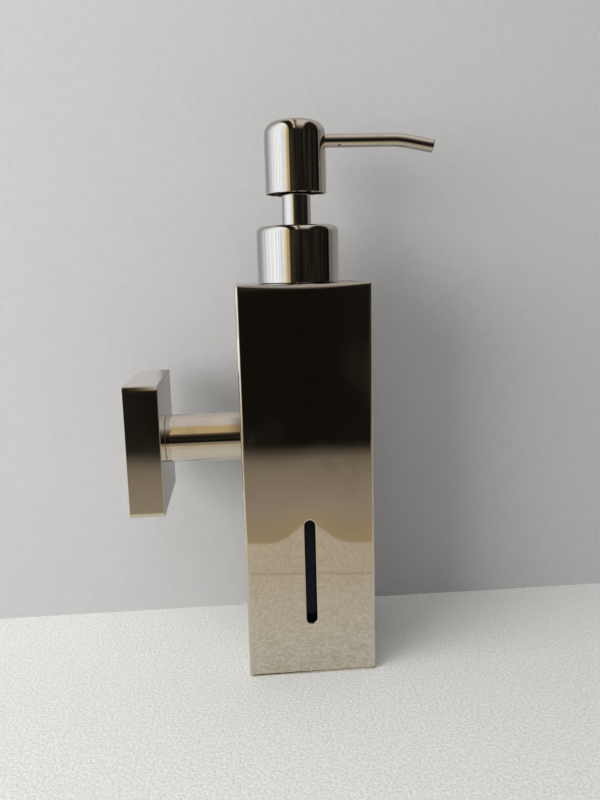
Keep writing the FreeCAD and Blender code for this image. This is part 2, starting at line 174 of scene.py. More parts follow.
def grade(tree, value, low, high, to_low=0.0, to_high=1.0):
    """Smooth step of a value from one range to another."""
    return put(tree, "ShaderNodeMapRange", {"interpolation_type": "SMOOTHSTEP"}, i0=value, i1=low, i2=high,
               i3=to_low, i4=to_high).outputs[0]


def blend_colour(tree, factor, first, second):
    made = tree.nodes.new("ShaderNodeMix")
    made.data_type = "RGBA"
    for socket, value in zip([made.inputs[0], made.inputs[6], made.inputs[7]], [factor, first, second]):
        if isinstance(value, bpy.types.NodeSocket):
            tree.links.new(value, socket)
        else:
            socket.default_value = value if isinstance(value, float) else (*value, 1)
    return made.outputs[2]


print("node helpers ready")

# %% [markdown]
# ## Shared effects
# Polished sheet is never a perfect mirror: it keeps hair-fine lines from the wheel, broad soft waves where
# the sheet was bent or welded, and dull patches where it was touched. Two or more finishes use each effect,
# so each is a node group with named inputs, built once. A group puts out only values; the shader stays in
# the material.

# %% Node groups for wheel lines, soft waves and touch marks


def new_group(name, inputs, outputs):
    group = bpy.data.node_groups.new(name, "ShaderNodeTree")
    for socket, default in inputs.items():
        kind = "NodeSocketVector" if default is None else "NodeSocketFloat"
        made = group.interface.new_socket(socket, in_out="INPUT", socket_type=kind)
        if default is not None:
            made.default_value = default
    for socket in outputs:
        group.interface.new_socket(socket, in_out="OUTPUT", socket_type="NodeSocketFloat")
    return group, group.nodes.new("NodeGroupInput"), group.nodes.new("NodeGroupOutput")


def noise(tree, vector, scale, detail=2.0, roughness=0.5):
    return put(tree, "ShaderNodeTexNoise", Vector=vector, Scale=scale, Detail=detail,
               Roughness=roughness).outputs["Fac"]


# Wheel lines: noise squeezed along the direction in which the wheel ran.
wheel_lines, given, result = new_group("wheel lines", {"Vector": None, "Scale": 2500.0, "Squeeze": 0.02},
                                       ["Lines"])
squeezed = put(wheel_lines, "ShaderNodeCombineXYZ", X=1.0, Y=1.0, Z=given.outputs["Squeeze"])
stretched = put(wheel_lines, "ShaderNodeVectorMath", {"operation": "MULTIPLY"}, i0=given.outputs["Vector"],
                i1=squeezed.outputs[0])
lines = noise(wheel_lines, stretched.outputs[0], given.outputs["Scale"], 3.0, 0.6)
wheel_lines.links.new(lines, result.inputs["Lines"])

# Soft waves: broad noise, the part of the surface that bends a reflection.
soft_waves, given, result = new_group("soft waves", {"Vector": None, "Scale": 40.0}, ["Waves"])
waves = noise(soft_waves, given.outputs["Vector"], given.outputs["Scale"], 1.0, 0.4)
soft_waves.links.new(waves, result.inputs["Waves"])

# Touch marks: uneven patches with a fine grain in them.
touch_marks, given, result = new_group("touch marks", {"Vector": None, "Scale": 60.0, "Cover": 0.5},
                                       ["Marks"])
patches = noise(touch_marks, given.outputs["Vector"], given.outputs["Scale"], 5.0, 0.62)
dust_scale = times(touch_marks, given.outputs["Scale"], 18.0)
dust = noise(touch_marks, given.outputs["Vector"], dust_scale, 2.0)
edge_of_patch = maths(touch_marks, "SUBTRACT", 1.0, given.outputs["Cover"])
patch_mask = grade(touch_marks, patches, edge_of_patch, plus(touch_marks, edge_of_patch, 0.25))
dusty = times(touch_marks, patch_mask, plus(touch_marks, dust, 0.4))
touch_marks.links.new(dusty, result.inputs["Marks"])

# Rubbed edges: the stored edge mask, broken up so that no edge is worn evenly.
rubbed_edges, given, result = new_group("rubbed edges", {"Vector": None, "Scale": 300.0, "Wear": 0.5},
                                        ["Edge"])
stored = put(rubbed_edges, "ShaderNodeAttribute", {"attribute_name": "edge"}).outputs["Fac"]
breakup = noise(rubbed_edges, given.outputs["Vector"], given.outputs["Scale"], 4.0, 0.6)
broken = times(rubbed_edges, stored, grade(rubbed_edges, breakup, 0.35, 0.65))
worn = times(rubbed_edges, broken, given.outputs["Wear"])
rubbed_edges.links.new(worn, result.inputs["Edge"])
print("node groups:", [group.name for group in bpy.data.node_groups])

# %% [markdown]
# ## Metal finishes
# All the steel shares one recipe with its own values: a slightly warm metal colour, roughness that rises in
# touched patches, wheel lines and waves as a bump, and brighter rubbed edges. The mirror finish has very low
# roughness, so what it shows is the room. Its fine lines run upright on the pump and level on the arm and
# the spout. Plain steel is the same metal straight from the sheet or the lathe.

# %% Steel materials


def group_node(tree, group, **sockets):
    made = put(tree, "ShaderNodeGroup", {"node_tree": group})
    for name, value in sockets.items():
        if isinstance(value, bpy.types.NodeSocket):
            tree.links.new(value, made.inputs[name])
        else:
            made.inputs[name].default_value = value
    return made.outputs[0]


def blank_material(name):
    material = bpy.data.materials.new(name)
    material.use_nodes = True
    tree = material.node_tree
    tree.nodes.clear()
    shader = tree.nodes.new("ShaderNodeBsdfPrincipled")
    out = tree.nodes.new("ShaderNodeOutputMaterial")
    tree.links.new(shader.outputs[0], out.inputs[0])
    place = tree.nodes.new("ShaderNodeTexCoord").outputs["Object"]
    return material, tree, shader, place


def metal(name, tint, dull, smooth, marked, line_scale=2500.0, squeeze=0.02, line_depth=1e-7, wave_depth=3e-5,
          cover=0.5, level_lines=False):
    """Steel. smooth and marked are its roughness where clean and where touched."""
    material, tree, shader, place = blank_material(name)
    sides = put(tree, "ShaderNodeSeparateXYZ", Vector=place).outputs
    swapped = put(tree, "ShaderNodeCombineXYZ", X=sides["Z"], Y=sides["Y"], Z=sides["X"]).outputs[0]
    fine = group_node(tree, wheel_lines, Vector=swapped if level_lines else place, Scale=line_scale,
                      Squeeze=squeeze)
    broad = group_node(tree, soft_waves, Vector=place, Scale=40.0)
    marks = group_node(tree, touch_marks, Vector=place, Scale=55.0, Cover=cover)
    edges = group_node(tree, rubbed_edges, Vector=place, Scale=400.0, Wear=0.4)
    base = blend_colour(tree, marks, tint, dull)
    bright = tuple(min(1.0, c * 1.15) for c in tint)
    tree.links.new(blend_colour(tree, edges, base, bright), shader.inputs["Base Color"])
    roughness = grade(tree, marks, 0.0, 1.0, smooth, marked)
    rough = plus(tree, roughness, times(tree, fine, smooth * 0.6))
    tree.links.new(rough, shader.inputs["Roughness"])
    shader.inputs["Metallic"].default_value = 1.0
    wave_bump = put(tree, "ShaderNodeBump", Strength=1.0, Distance=wave_depth, Height=broad)
    line_bump = put(tree, "ShaderNodeBump", Strength=1.0, Distance=line_depth, Height=fine,
                    Normal=wave_bump.outputs[0])
    tree.links.new(line_bump.outputs[0], shader.inputs["Normal"])
    return material


mirror_steel = metal("mirror steel", (0.68, 0.645, 0.59), (0.63, 0.59, 0.53), 0.03, 0.10, line_scale=1500.0,
                     line_depth=8e-7)
upright_steel = metal("mirror steel, drawn upright", (0.67, 0.635, 0.58), (0.61, 0.575, 0.52), 0.035, 0.10,
                      line_scale=1100.0, line_depth=3e-6, wave_depth=4e-5)
level_steel = metal("mirror steel, drawn level", (0.67, 0.635, 0.58), (0.61, 0.575, 0.52), 0.035, 0.10,
                    line_scale=1100.0, line_depth=4e-6, wave_depth=4e-5, level_lines=True)
sheet_steel = metal("plain sheet steel", (0.58, 0.55, 0.50), (0.46, 0.43, 0.38), 0.24, 0.40, line_depth=6e-7,
                    squeeze=0.05, cover=0.55)
wire_steel = metal("spring wire", (0.50, 0.48, 0.45), (0.36, 0.34, 0.31), 0.20, 0.34, line_scale=5000.0,
                   squeeze=1.0, line_depth=3e-7)
ball_steel = metal("ground ball steel", (0.66, 0.63, 0.58), (0.58, 0.55, 0.50), 0.06, 0.12, squeeze=1.0,
                   wave_depth=2e-6)
print("metals:", [material.name for material in bpy.data.materials if "steel" in material.name or "wire" in
                  material.name])

# %% [markdown]
# ## Plastic and rubber finishes
# Moulded plastic copies the spark-eroded surface of its mould: a fine even grain that breaks up the shine.
# The bottle is blown from glossy dark blue plastic, whose skin is smooth but a little wavy. Corners turn
# paler where they rub, and dust and soap leave faint marks.

# %% Plastic and rubber materials


def plastic(name, colour, pale, smooth, marked, grain_depth=4e-6, wave_depth=1e-5, sheen=0.5):
    material, tree, shader, place = blank_material(name)
    grain = noise(tree, place, 3500.0, 3.0, 0.6)
    broad = group_node(tree, soft_waves, Vector=place, Scale=70.0)
    marks = group_node(tree, touch_marks, Vector=place, Scale=80.0, Cover=0.45)
    edges = group_node(tree, rubbed_edges, Vector=place, Scale=500.0, Wear=0.5)
    base = blend_colour(tree, times(tree, marks, 0.35), colour, pale)
    tree.links.new(blend_colour(tree, edges, base, pale), shader.inputs["Base Color"])
    tree.links.new(grade(tree, marks, 0.0, 1.0, smooth, marked), shader.inputs["Roughness"])
    shader.inputs["Specular IOR Level"].default_value = sheen
    wave_bump = put(tree, "ShaderNodeBump", Strength=1.0, Distance=wave_depth, Height=broad)
    grain_bump = put(tree, "ShaderNodeBump", Strength=1.0, Distance=grain_depth, Height=grain,
                     Normal=wave_bump.outputs[0])
    tree.links.new(grain_bump.outputs[0], shader.inputs["Normal"])
    return material


black_moulded = plastic("black moulded plastic", (0.022, 0.021, 0.020), (0.075, 0.07, 0.065), 0.42, 0.58)
blown_bottle = plastic("dark blue blown plastic", (0.003, 0.006, 0.018), (0.011, 0.015, 0.030), 0.16, 0.30,
                       grain_depth=5e-7, wave_depth=4e-5, sheen=0.16)
natural_plastic = plastic("natural pump plastic", (0.70, 0.69, 0.64), (0.80, 0.79, 0.75), 0.34, 0.48,
                          grain_depth=1.5e-6)
seal_plastic = plastic("white piston plastic", (0.78, 0.77, 0.74), (0.86, 0.85, 0.83), 0.28, 0.42,
                       grain_depth=1e-6)
seal_rubber = plastic("seal rubber", (0.030, 0.030, 0.032), (0.09, 0.09, 0.09), 0.62, 0.78, grain_depth=8e-6)
print("plastics:", black_moulded.name, blown_bottle.name, natural_plastic.name, seal_plastic.name,
      seal_rubber.name)

# %% [markdown]
# ## Helpers for skins
# Nearly every piece here is a skin over rows of points: turned pieces have round rows, the tube and the
# flange have square rows with rounded corners. A mirror shows every shading error, so each rounded corner
# is a true arc with a support row beside it, and flat faces stay exactly flat.

# %% Rounded profiles and rows
GUARD = 0.22 * MM


def soften(corners):
    """Closed profile with rounded corners, from (a, b, radius) corners."""
    made, count = [], len(corners)
    for k, (a, b, radius) in enumerate(corners):
        here = Vector((a, b))
        if radius == 0:
            made.append(here)
            continue
        to_last = Vector(corners[k - 1][:2]) - here
        to_next = Vector(corners[(k + 1) % count][:2]) - here
        half = to_last.angle(to_next) / 2
        reach = radius / tan(half)
        centre = here + (to_last.normalized() + to_next.normalized()).normalized() * (radius / sin(half))
        start = here + to_last.normalized() * reach - centre
        end = here + to_next.normalized() * reach - centre
        steps = 3 if radius < 0.3 * MM else 5 if radius < 0.9 * MM else 10
        if to_last.length > reach + 3 * GUARD:
            made.append(here + to_last.normalized() * (reach + GUARD))
        turned = start.angle(end)
        for step in range(steps + 1):
            share = turned * step / steps
            made.append(centre + (start * sin(turned - share) + end * sin(share)) / sin(turned))
        if to_next.length > reach + 3 * GUARD:
            made.append(here + to_next.normalized() * (reach + GUARD))
    return made


def round_rows(profile, place, steps=144):
    """Rows of a turned piece, from (radius, height) points."""
    return [[place(radius * cos(tau * i / steps), radius * sin(tau * i / steps), height)
             for i in range(steps)] for radius, height in profile]


def square_outline(half, radius, columns=20, steps=6):
    """Points round a square with rounded corners, from the start of its lower side, anticlockwise."""
    flat = half - radius
    inner = flat - GUARD
    middle = [(inner * (2 * k / columns - 1), -half) for k in range(columns + 1)]
    side = [(-flat, -half)] + middle + [(flat, -half)]
    angles = [pi / 2 * k / steps for k in range(1, steps)]
    side += [(flat + radius * sin(angle), -flat - radius * cos(angle)) for angle in angles]
    outline = []
    for _ in range(4):
        outline += side
        side = [(-b, a) for a, b in side]
    return outline


def between(first, second, share):
    return [(a + (c - a) * share, b + (d - b) * share) for (a, b), (c, d) in zip(first, second)]


def circle_like(outline, radius):
    """Circle with one point in the direction of each point of an outline."""
    return [tuple(Vector(point).normalized() * radius) for point in outline]


print("support rows stand", GUARD / MM, "mm from an arc")

# %% [markdown]
# A hole in a skin is made with loops of faces that run from the skin's own grid to the hole's outline, round
# its edge, through the wall and out over the inner skin. The hole keeps a soft edge, and the faces round it
# follow the surface, which a Boolean can't promise.

# %% Skins and pierced holes


def bridge(bm, first, second):
    for i in range(len(first)):
        k = (i + 1) % len(first)
        bm.faces.new((first[i], first[k], second[k], second[i]))


def skin(bm, rows, skipped=()):
    """Faces between rows of points. skipped holds (row, column) cells that stay open."""
    grid = [[bm.verts.new(point) for point in row] for row in rows]
    count = len(grid[0])
    for j in range(len(grid) - 1):
        for i in range(count):
            if (j, i) not in skipped:
                k = (i + 1) % count
                bm.faces.new((grid[j][i], grid[j][k], grid[j + 1][k], grid[j + 1][i]))
    return grid


def cells(rows, columns, count):
    return {(j, i % count) for j in range(*rows) for i in range(*columns)}


def loop_round(grid, rows, columns, count):
    """Grid points round a block of cells."""
    (low, high), (first, last) = rows, columns
    return ([grid[low][i % count] for i in range(first, last)]
            + [grid[j][last % count] for j in range(low, high)]
            + [grid[high][i % count] for i in range(last, first, -1)]
            + [grid[j][first % count] for j in range(high, low, -1)])


def turned_back(grid, outer_first, inner_first, count):
    """Rows of the inner skin, which run the other way, numbered like the outer rows beside them."""
    return {outer_first + k: grid[inner_first + count - 1 - k] for k in range(count)}


def pierce(bm, grids, rows, columns, flatten, surface, wall, radius, rim, loops, spine=(0, 0)):
    """Round-ended hole through both skins of a wall.

    surface places a flat point at a depth in the wall. spine holds the two ends of the hole's centre line.
    """
    outside, inside = (loop_round(grid, rows, columns, len(grid[rows[0]])) for grid in grids)

    def ring(points, share, offset, start=0.0, sunk=0.0):
        made = []
        for point in points:
            middle = Vector((0, min(max(point.y, spine[0]), spine[1])))
            near = middle + (point - middle).normalized() * offset
            place = near.lerp(point, share)
            top, under = surface(place, start), surface(place, wall)
            made.append(bm.verts.new(top + (under - top).normalized() * sunk if sunk else top))
        return made

    flat_out = [flatten(vert.co) for vert in outside]
    flat_in = [flatten(vert.co) for vert in inside]
    shares = [(1 - k / loops) ** 1.6 for k in range(1, loops + 1)]
    rings = [ring(flat_out, share, radius + rim + GUARD) for share in shares]
    for k in range(5):
        angle = pi / 2 * k / 4
        rings.append(ring(flat_out, 0, radius + rim * (1 - sin(angle)), sunk=rim * (1 - cos(angle))))
    rings += [ring(flat_in, share, radius, wall) for share in (0, 0.3, 0.65)]
    last = outside
    for loop in rings:
        bridge(bm, last, loop)
        last = loop
    bridge(bm, last, inside)


print("skin helpers ready")

# %% [markdown]
# Each finished piece is cleaned, gets its shading, a stored mask of its curved edges for the rubbed look, its
# material, and its place in the frame: the body that it rides on and the nodes that it stands for.

# %% Finish a piece


def store_edges(mesh):
    """Edge mask: 1 where neighbouring faces turn by more than a few degrees."""
    bm = bmesh.new()
    bm.from_mesh(mesh)
    mask = mesh.attributes.new("edge", "FLOAT", "POINT")
    for vert in bm.verts:
        turns = [edge.calc_face_angle(0.0) for edge in vert.link_edges if len(edge.link_faces) == 2]
        sharpest = max(turns, default=0.0)
        mask.data[vert.index].value = min(1.0, max(0.0, (sharpest - radians(5)) / radians(6)))
    bm.free()


SHARP_ANGLE = radians(35)


def settle(piece, body, material, replaced=()):
    mesh = piece.data
    mesh.shade_smooth()
    mesh.set_sharp_from_angle(angle=SHARP_ANGLE)
    if "edge" not in mesh.attributes:
        store_edges(mesh)
    mesh.materials.clear()
    mesh.materials.append(material)
    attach(piece, body)
    if replaced:
        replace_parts(piece, *replaced)
    size = [round(side / MM, 2) for side in piece.dimensions]
    print(f"{piece.name}: {len(mesh.vertices)} points, {len(mesh.polygons)} faces, {size} mm, on {body}")
    return piece


def finished(name, bm, body, material, replaced=()):
    bmesh.ops.remove_doubles(bm, verts=bm.verts, dist=1e-8)
    bmesh.ops.recalc_face_normals(bm, faces=bm.faces)
    mesh = bpy.data.meshes.new(name)
    bm.to_mesh(mesh)
    bm.free()
    piece = bpy.data.objects.new(name, mesh)
    scene.collection.objects.link(piece)
    bpy.context.view_layer.update()
    return settle(piece, body, material, replaced)


print("ready to make pieces")

# %% [markdown]
# ## Body
# The real body is a square tube with a plate welded on top and ground flush, so it reads as one polished skin
# with soft edges. It is made as one closed skin here too: up the outside, over the top, down through the
# neck's hole and back down the inside. The level slot has a slight dish round it, left by the punch, which
# is what bends the reflections near it.

# %% Body skin
HALF = (tube_high.x - tube_low.x) / 2
WALL = 1.2 * MM
CORNER = 1.2 * MM
TOP_EDGE_MIDDLE, TOP_EDGE_CORNER = 2.3 * MM, 0.7 * MM
GROOVE = 0.22 * MM
NECK_HOLE = 13.9 * MM
NECK_RIM = 0.15 * MM
SCREW_HOLE = 2.75 * MM
INNER_CORNER = 0.3 * MM
SHARPEST_CORNER = 0.12 * MM
COLUMNS, CORNER_STEPS = 20, 6
SLOT_RADIUS = 2.1 * MM
SLOT_RIM = 0.3 * MM
slot_low = floor_z + 21 * MM
slot_spine = (slot_low + SLOT_RADIUS, slot_low + 42 * MM - SLOT_RADIUS)
DISH_DEPTH, DISH_WIDTH = 0.55 * MM, 8.5 * MM
DISH_FLAT, DISH_FALL = 6 * MM, 24 * MM
inner_half = HALF - WALL


def body_row(inset, up, half=HALF, radius=CORNER):
    corner = max(radius - inset, SHARPEST_CORNER)
    return [on_pump_axis(a, b, up) for a, b in square_outline(half - inset, corner, COLUMNS, CORNER_STEPS)]


def ground_edge_row(angle, extra=0.0):
    """One row of the top edge's arc. Grinding took most off at the middle of each side."""
    row = []
    for a, b in square_outline(HALF, CORNER, COLUMNS, CORNER_STEPS):
        along = min(abs(a), abs(b)) / HALF
        radius = TOP_EDGE_CORNER + (TOP_EDGE_MIDDLE - TOP_EDGE_CORNER) * (1 - along * along)
        inset = radius * (1 - cos(angle)) + extra
        shrink = (HALF - inset) / HALF
        row.append(on_pump_axis(a * shrink, b * shrink, plate_high.z - radius * (1 - sin(angle))))
    return row


def evenly(low, high, spacing):
    count = max(1, round((high - low) / spacing))
    return [low + (high - low) * k / count for k in range(count)]


straight_top = plate_high.z - TOP_EDGE_MIDDLE - GUARD
levels = (evenly(tube_low.z + 0.5 * MM, slot_spine[0], 2.6 * MM) + evenly(*slot_spine, 2.6 * MM)
          + evenly(slot_spine[1], -12 * MM, 2.6 * MM) + evenly(-12 * MM, 12 * MM, 3 * MM)
          + evenly(12 * MM, straight_top, 3 * MM) + [straight_top])
rows = [body_row(GROOVE, tube_low.z), body_row(0, tube_low.z + GROOVE)]
first_level = len(rows)
rows += [body_row(0, level) for level in levels]
rows += [ground_edge_row(pi / 2 * k / 10) for k in range(11)] + [ground_edge_row(pi / 2, GUARD)]
outline = [(point.x - pump_x, point.y) for point in rows[-1]]
hole = circle_like(outline, NECK_HOLE + NECK_RIM)
flats = [between(outline, hole, share) for share in (0.08, 0.15, 0.3, 0.45, 0.6, 0.75, 0.9, 1)]
rows += [[on_pump_axis(a, b, plate_high.z) for a, b in flat] for flat in flats]
bore = circle_like(outline, NECK_HOLE)
rows += [[on_pump_axis(a, b, up) for a, b in bore]
         for up in (plate_high.z - NECK_RIM, plate_low.z + NECK_RIM, plate_low.z)]
inner_outline = square_outline(inner_half, INNER_CORNER, COLUMNS, CORNER_STEPS)
rows += [[on_pump_axis(a, b, plate_low.z) for a, b in between(bore, inner_outline, share)]
         for share in (0.35, 0.7, 1)]
inner_first = len(rows)
inner_levels = [level for level in reversed(levels) if level < plate_low.z - 0.3 * MM]
rows += [body_row(0, level, inner_half, INNER_CORNER) for level in inner_levels]
rows += [body_row(0, tube_low.z, inner_half, INNER_CORNER), rows[0]]
print(len(rows), "rows of", len(rows[0]), "points, slot from", round(slot_low / MM, 1), "mm, 42 mm long")

# %% [markdown]
# The slot is in the front wall, which is the first side of every row. The arm's screw passes through the left
# wall, which is the fourth. Both holes are left open in the grid and then filled with loops.

# %% Level slot and arm hole in the body
SIDE = COLUMNS + CORNER_STEPS + 2
per_row = len(rows[0])
slot_rows = (first_level, first_level + len(inner_levels) - 1)
slot_columns = (1, COLUMNS + 1)
arm_row = min(range(len(levels)), key=lambda k: abs(levels[k]))
arm_rows = (first_level + arm_row - 4, first_level + arm_row + 4)
arm_columns = (3 * SIDE + 1 + 5, 3 * SIDE + 1 + 15)


def mirrored_rows(span):
    """The same levels on the inner skin, whose rows run downwards."""
    top = inner_first + len(inner_levels) - 1 + first_level
    return (top - span[1], top - span[0])


open_cells = set()
for span, columns in ((slot_rows, slot_columns), (arm_rows, arm_columns)):
    open_cells |= cells(span, columns, per_row) | cells(mirrored_rows(span), columns, per_row)
bm = bmesh.new()
grid = skin(bm, rows, open_cells)
inner_grid = turned_back(grid, first_level, inner_first, len(inner_levels))


def dish(place):
    """How far the front wall is pressed in: most at the slot's middle, nothing well past its ends."""
    from_middle = abs(place.y - sum(slot_spine) / 2)
    along = min(max(from_middle - DISH_FLAT, 0) / DISH_FALL, 1)
    across = place.x / DISH_WIDTH
    return DISH_DEPTH * (1 + cos(pi * along)) / 2 * exp(-across * across)


def front_wall(flat, depth):
    return Vector((pump_x + flat.x, tube_low.y + depth + dish(flat), flat.y))


def left_wall(flat, depth):
    return Vector((tube_low.x + depth, flat.x, flat.y))


pierce(bm, (grid, inner_grid), slot_rows, slot_columns, lambda point: Vector((point.x - pump_x, point.z)),
       front_wall, WALL, SLOT_RADIUS, SLOT_RIM, 20, slot_spine)
pierce(bm, (grid, inner_grid), arm_rows, arm_columns, lambda point: Vector((point.y, point.z)),
       left_wall, WALL, SCREW_HOLE, 0.1 * MM, 5)
finished("body_skin", bm, "housing", mirror_steel, ["body_tube", "top_plate"])

# %% [markdown]
# The base plate is a separate thin sheet pushed into the tube's end. It shows as one fine line just above the
# ground, so it gets its own soft edges and meets the body's edge in a tiny groove.

# %% Base plate
bm = bmesh.new()
sheet = [(0.2, 0), (0.06, 0.06), (0, 0.2), (0, 0.52), (0.3, 0.8)]
rows = [body_row(inset * MM, floor_z + up * MM) for inset, up in sheet]
grid = skin(bm, rows)
bm.faces.new(grid[0])
bm.faces.new(grid[-1])
finished("base_sheet", bm, "housing", mirror_steel, ["base_plate"])

# %% [markdown]
# ## Wall flange
# The flange is a shallow square box, open at the wall. Its four long corners are rounded by two millimetres
# and its front edge is only broken, which is why the band of light along its upper corner is wider than the
# one on its front. A grub screw's hole goes up through its lower wall.

# %% Flange box
flange_low, flange_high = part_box("flange_cover")
FLANGE_WALL = 2.0 * MM
FLANGE_CORNER = 2.0 * MM
FLANGE_EDGE = 0.4 * MM
BRACKET_THICKNESS, BRACKET_LIP = 2.0 * MM, 8.0 * MM
SET_SCREW_HOLE, SET_SCREW_RIM = 2.03 * MM, 0.15 * MM
flange_half = flange_high.y


def flange_row(inset, along, half=flange_half, radius=FLANGE_CORNER):
    outline = square_outline(half - inset, max(radius - inset, SHARPEST_CORNER), COLUMNS, CORNER_STEPS)
    return [on_arm_axis(a, b, along) for a, b in outline]


front = flange_high.x
set_x = (BRACKET_THICKNESS + BRACKET_LIP) / 2
along_levels = [0.5, 2.0, 3.5, 5.0, 6.5, 8.0, 9.5, 10.6]
rows = [flange_row(0.15 * MM, 0), flange_row(0, 0.15 * MM)]
rows += [flange_row(0, level * MM) for level in along_levels]
rows.append(flange_row(0, front - FLANGE_EDGE - GUARD))
for k in range(6):
    angle = pi / 2 * k / 5
    rows.append(flange_row(FLANGE_EDGE * (1 - cos(angle)), front - FLANGE_EDGE * (1 - sin(angle))))
outline = square_outline(flange_half - FLANGE_EDGE - GUARD, FLANGE_CORNER - FLANGE_EDGE, COLUMNS,
                         CORNER_STEPS)
bore = circle_like(outline, SCREW_HOLE)
rows += [[on_arm_axis(a, b, front) for a, b in between(outline, bore, share)]
         for share in (0, 0.2, 0.4, 0.6, 0.8, 1)]
back = front - FLANGE_WALL
inner_outline = square_outline(flange_half - FLANGE_WALL, INNER_CORNER, COLUMNS, CORNER_STEPS)
rows += [[on_arm_axis(a, b, back) for a, b in between(bore, inner_outline, share)] for share in (0, 0.5, 1)]
inner_first = len(rows)
inside_half = flange_half - FLANGE_WALL
rows += [flange_row(0, level * MM, inside_half, INNER_CORNER) for level in reversed(along_levels)]
rows += [flange_row(0, 0, inside_half, INNER_CORNER), rows[0]]
screw_rows, screw_columns = (3, 8), (8, 14)
top = inner_first + len(along_levels) - 1 + 2
open_cells = cells(screw_rows, screw_columns, per_row) | cells((top - 8, top - 3), screw_columns, per_row)
bm = bmesh.new()
grid = skin(bm, rows, open_cells)
inner_grid = turned_back(grid, 2, inner_first, len(along_levels))


def lower_wall(flat, depth):
    return Vector((set_x + flat.y, flat.x, flange_low.z + depth))


pierce(bm, (grid, inner_grid), screw_rows, screw_columns, lambda point: Vector((point.y, point.x - set_x)),
       lower_wall, FLANGE_WALL, SET_SCREW_HOLE, SET_SCREW_RIM, 4)
finished("flange_box", bm, "housing", mirror_steel, ["flange_cover"])

# %% [markdown]
# ## Turned pieces
# The arm, the collar and the stem's sleeve are drawn or turned tubes. Each is one closed profile swept
# round its axis: outside, edge, inside and edge again, so it has a real wall thickness wherever one can
# look in.

# %% Arm, collar and stem sleeve


ARM_WALL, COLLAR_WALL, SLEEVE_WALL = 1.3, 0.6, 0.5
COLLAR_SHOULDER, COLLAR_HOLE = 2.5, 6.0


def turned_piece(name, corners, place, body, material, replaced):
    bm = bmesh.new()
    rows = round_rows(soften([(a * MM, b * MM, r * MM) for a, b, r in corners]), place)
    skin(bm, rows + rows[:1])
    return finished(name, bm, body, material, replaced)


arm_low, arm_high = (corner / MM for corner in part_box("arm_tube"))
arm_radius = arm_high.y
turned_piece("arm_sleeve", [(arm_radius, arm_low.x, 0.22), (arm_radius, arm_high.x, 0.15),
                            (arm_radius - ARM_WALL, arm_high.x, 0.1),
                            (arm_radius - ARM_WALL, arm_low.x, 0.1)],
             on_arm_axis, "housing", level_steel, ["arm_tube"])

collar_low, collar_high = (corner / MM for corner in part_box("collar_shell"))
collar_radius = collar_high.y
turned_piece("collar_sleeve",
             [(collar_radius, collar_low.z, 0.15), (collar_radius, collar_high.z, COLLAR_SHOULDER),
              (COLLAR_HOLE, collar_high.z, 0.15), (COLLAR_HOLE, collar_high.z - COLLAR_WALL, 0.1),
              (collar_radius - COLLAR_WALL, collar_high.z - COLLAR_WALL, COLLAR_SHOULDER - COLLAR_WALL),
              (collar_radius - COLLAR_WALL, collar_low.z, 0.1)],
             on_pump_axis, "closure", upright_steel, ["collar_shell"])

sleeve_low, sleeve_high = (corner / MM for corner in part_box("stem_sleeve"))
turned_piece("stem_skin", [(sleeve_high.y, sleeve_low.z, 0.1), (sleeve_high.y, sleeve_high.z, 0.1),
                           (sleeve_high.y - SLEEVE_WALL, sleeve_high.z, 0.1),
                           (sleeve_high.y - SLEEVE_WALL, sleeve_low.z, 0.1)],
             on_pump_axis, "head", upright_steel, ["stem_sleeve"])

# %% [markdown]
# ## Press head
# The head is a deep cup drawn from thin sheet, with a big round shoulder. Its lower end is open, and the dark
# plastic core sits back from the rim, which gives the dark hollow under the head. The spout's hole is pierced
# through its side, just below the shoulder.

# %% Head cup
cup_low, cup_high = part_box("head_shell")
CUP_WALL = 0.6 * MM
CUP_SHOULDER = 5.0 * MM
HOLE_BELOW, HOLE_ABOVE = 4.4 * MM, 4.8 * MM
cup_radius = cup_high.y
spout_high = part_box("nozzle_tube")[1]
spout_radius = spout_high.y
spout_z = spout_high.z - spout_radius
CUP_STEPS = 144


def cup_radius_at(up, wall=0.0):
    """Radius of the cup's outer skin, or of its inner skin with the wall's thickness, at a height."""
    shoulder = CUP_SHOULDER - wall
    rise = up - (cup_high.z - CUP_SHOULDER)
    straight = cup_radius - wall
    return straight if rise <= 0 else straight - shoulder + sqrt(max(shoulder ** 2 - rise ** 2, 0.0))


def cup_profile(wall):
    """Heights from the rim to the pole of the outer or inner skin."""
    shoulder = CUP_SHOULDER - wall
    start = cup_high.z - CUP_SHOULDER
    made = [(cup_radius - wall, cup_low.z + up * MM) for up in (0.15, 0.4)]
    made += [(cup_radius - wall, up) for up in evenly(spout_z - HOLE_BELOW, start, 1.1 * MM)]
    angles = [pi / 2 * k / 14 for k in range(15)]
    arc = [(cup_radius - wall - shoulder * (1 - cos(angle)), start + shoulder * sin(angle))
           for angle in angles]
    flat = cup_radius - CUP_SHOULDER
    return made + arc + [(flat - GUARD, arc[-1][1]), (flat / 2, arc[-1][1]), (0, arc[-1][1])]


outer, inner = cup_profile(0), cup_profile(CUP_WALL)
rim = [(cup_radius - CUP_WALL + 0.1 * MM, cup_low.z), (cup_radius - 0.15 * MM, cup_low.z)]
profile = list(reversed(inner)) + rim + outer
rows = round_rows(profile, on_pump_axis, CUP_STEPS)
count = len(inner)
first_outer = count + len(rim)
hole_low = min(range(count), key=lambda k: abs(outer[k][1] - (spout_z - HOLE_BELOW)))
hole_high = max(k for k in range(count) if outer[k][1] < spout_z + HOLE_ABOVE)
hole_rows = (first_outer + hole_low, first_outer + hole_high)
hole_columns = (-9, 9)
inner_rows = (count - 1 - hole_high, count - 1 - hole_low)
bm = bmesh.new()
grid = skin(bm, rows, cells(hole_rows, hole_columns, CUP_STEPS) | cells(inner_rows, hole_columns, CUP_STEPS))
inner_grid = turned_back(grid, first_outer, 0, count)


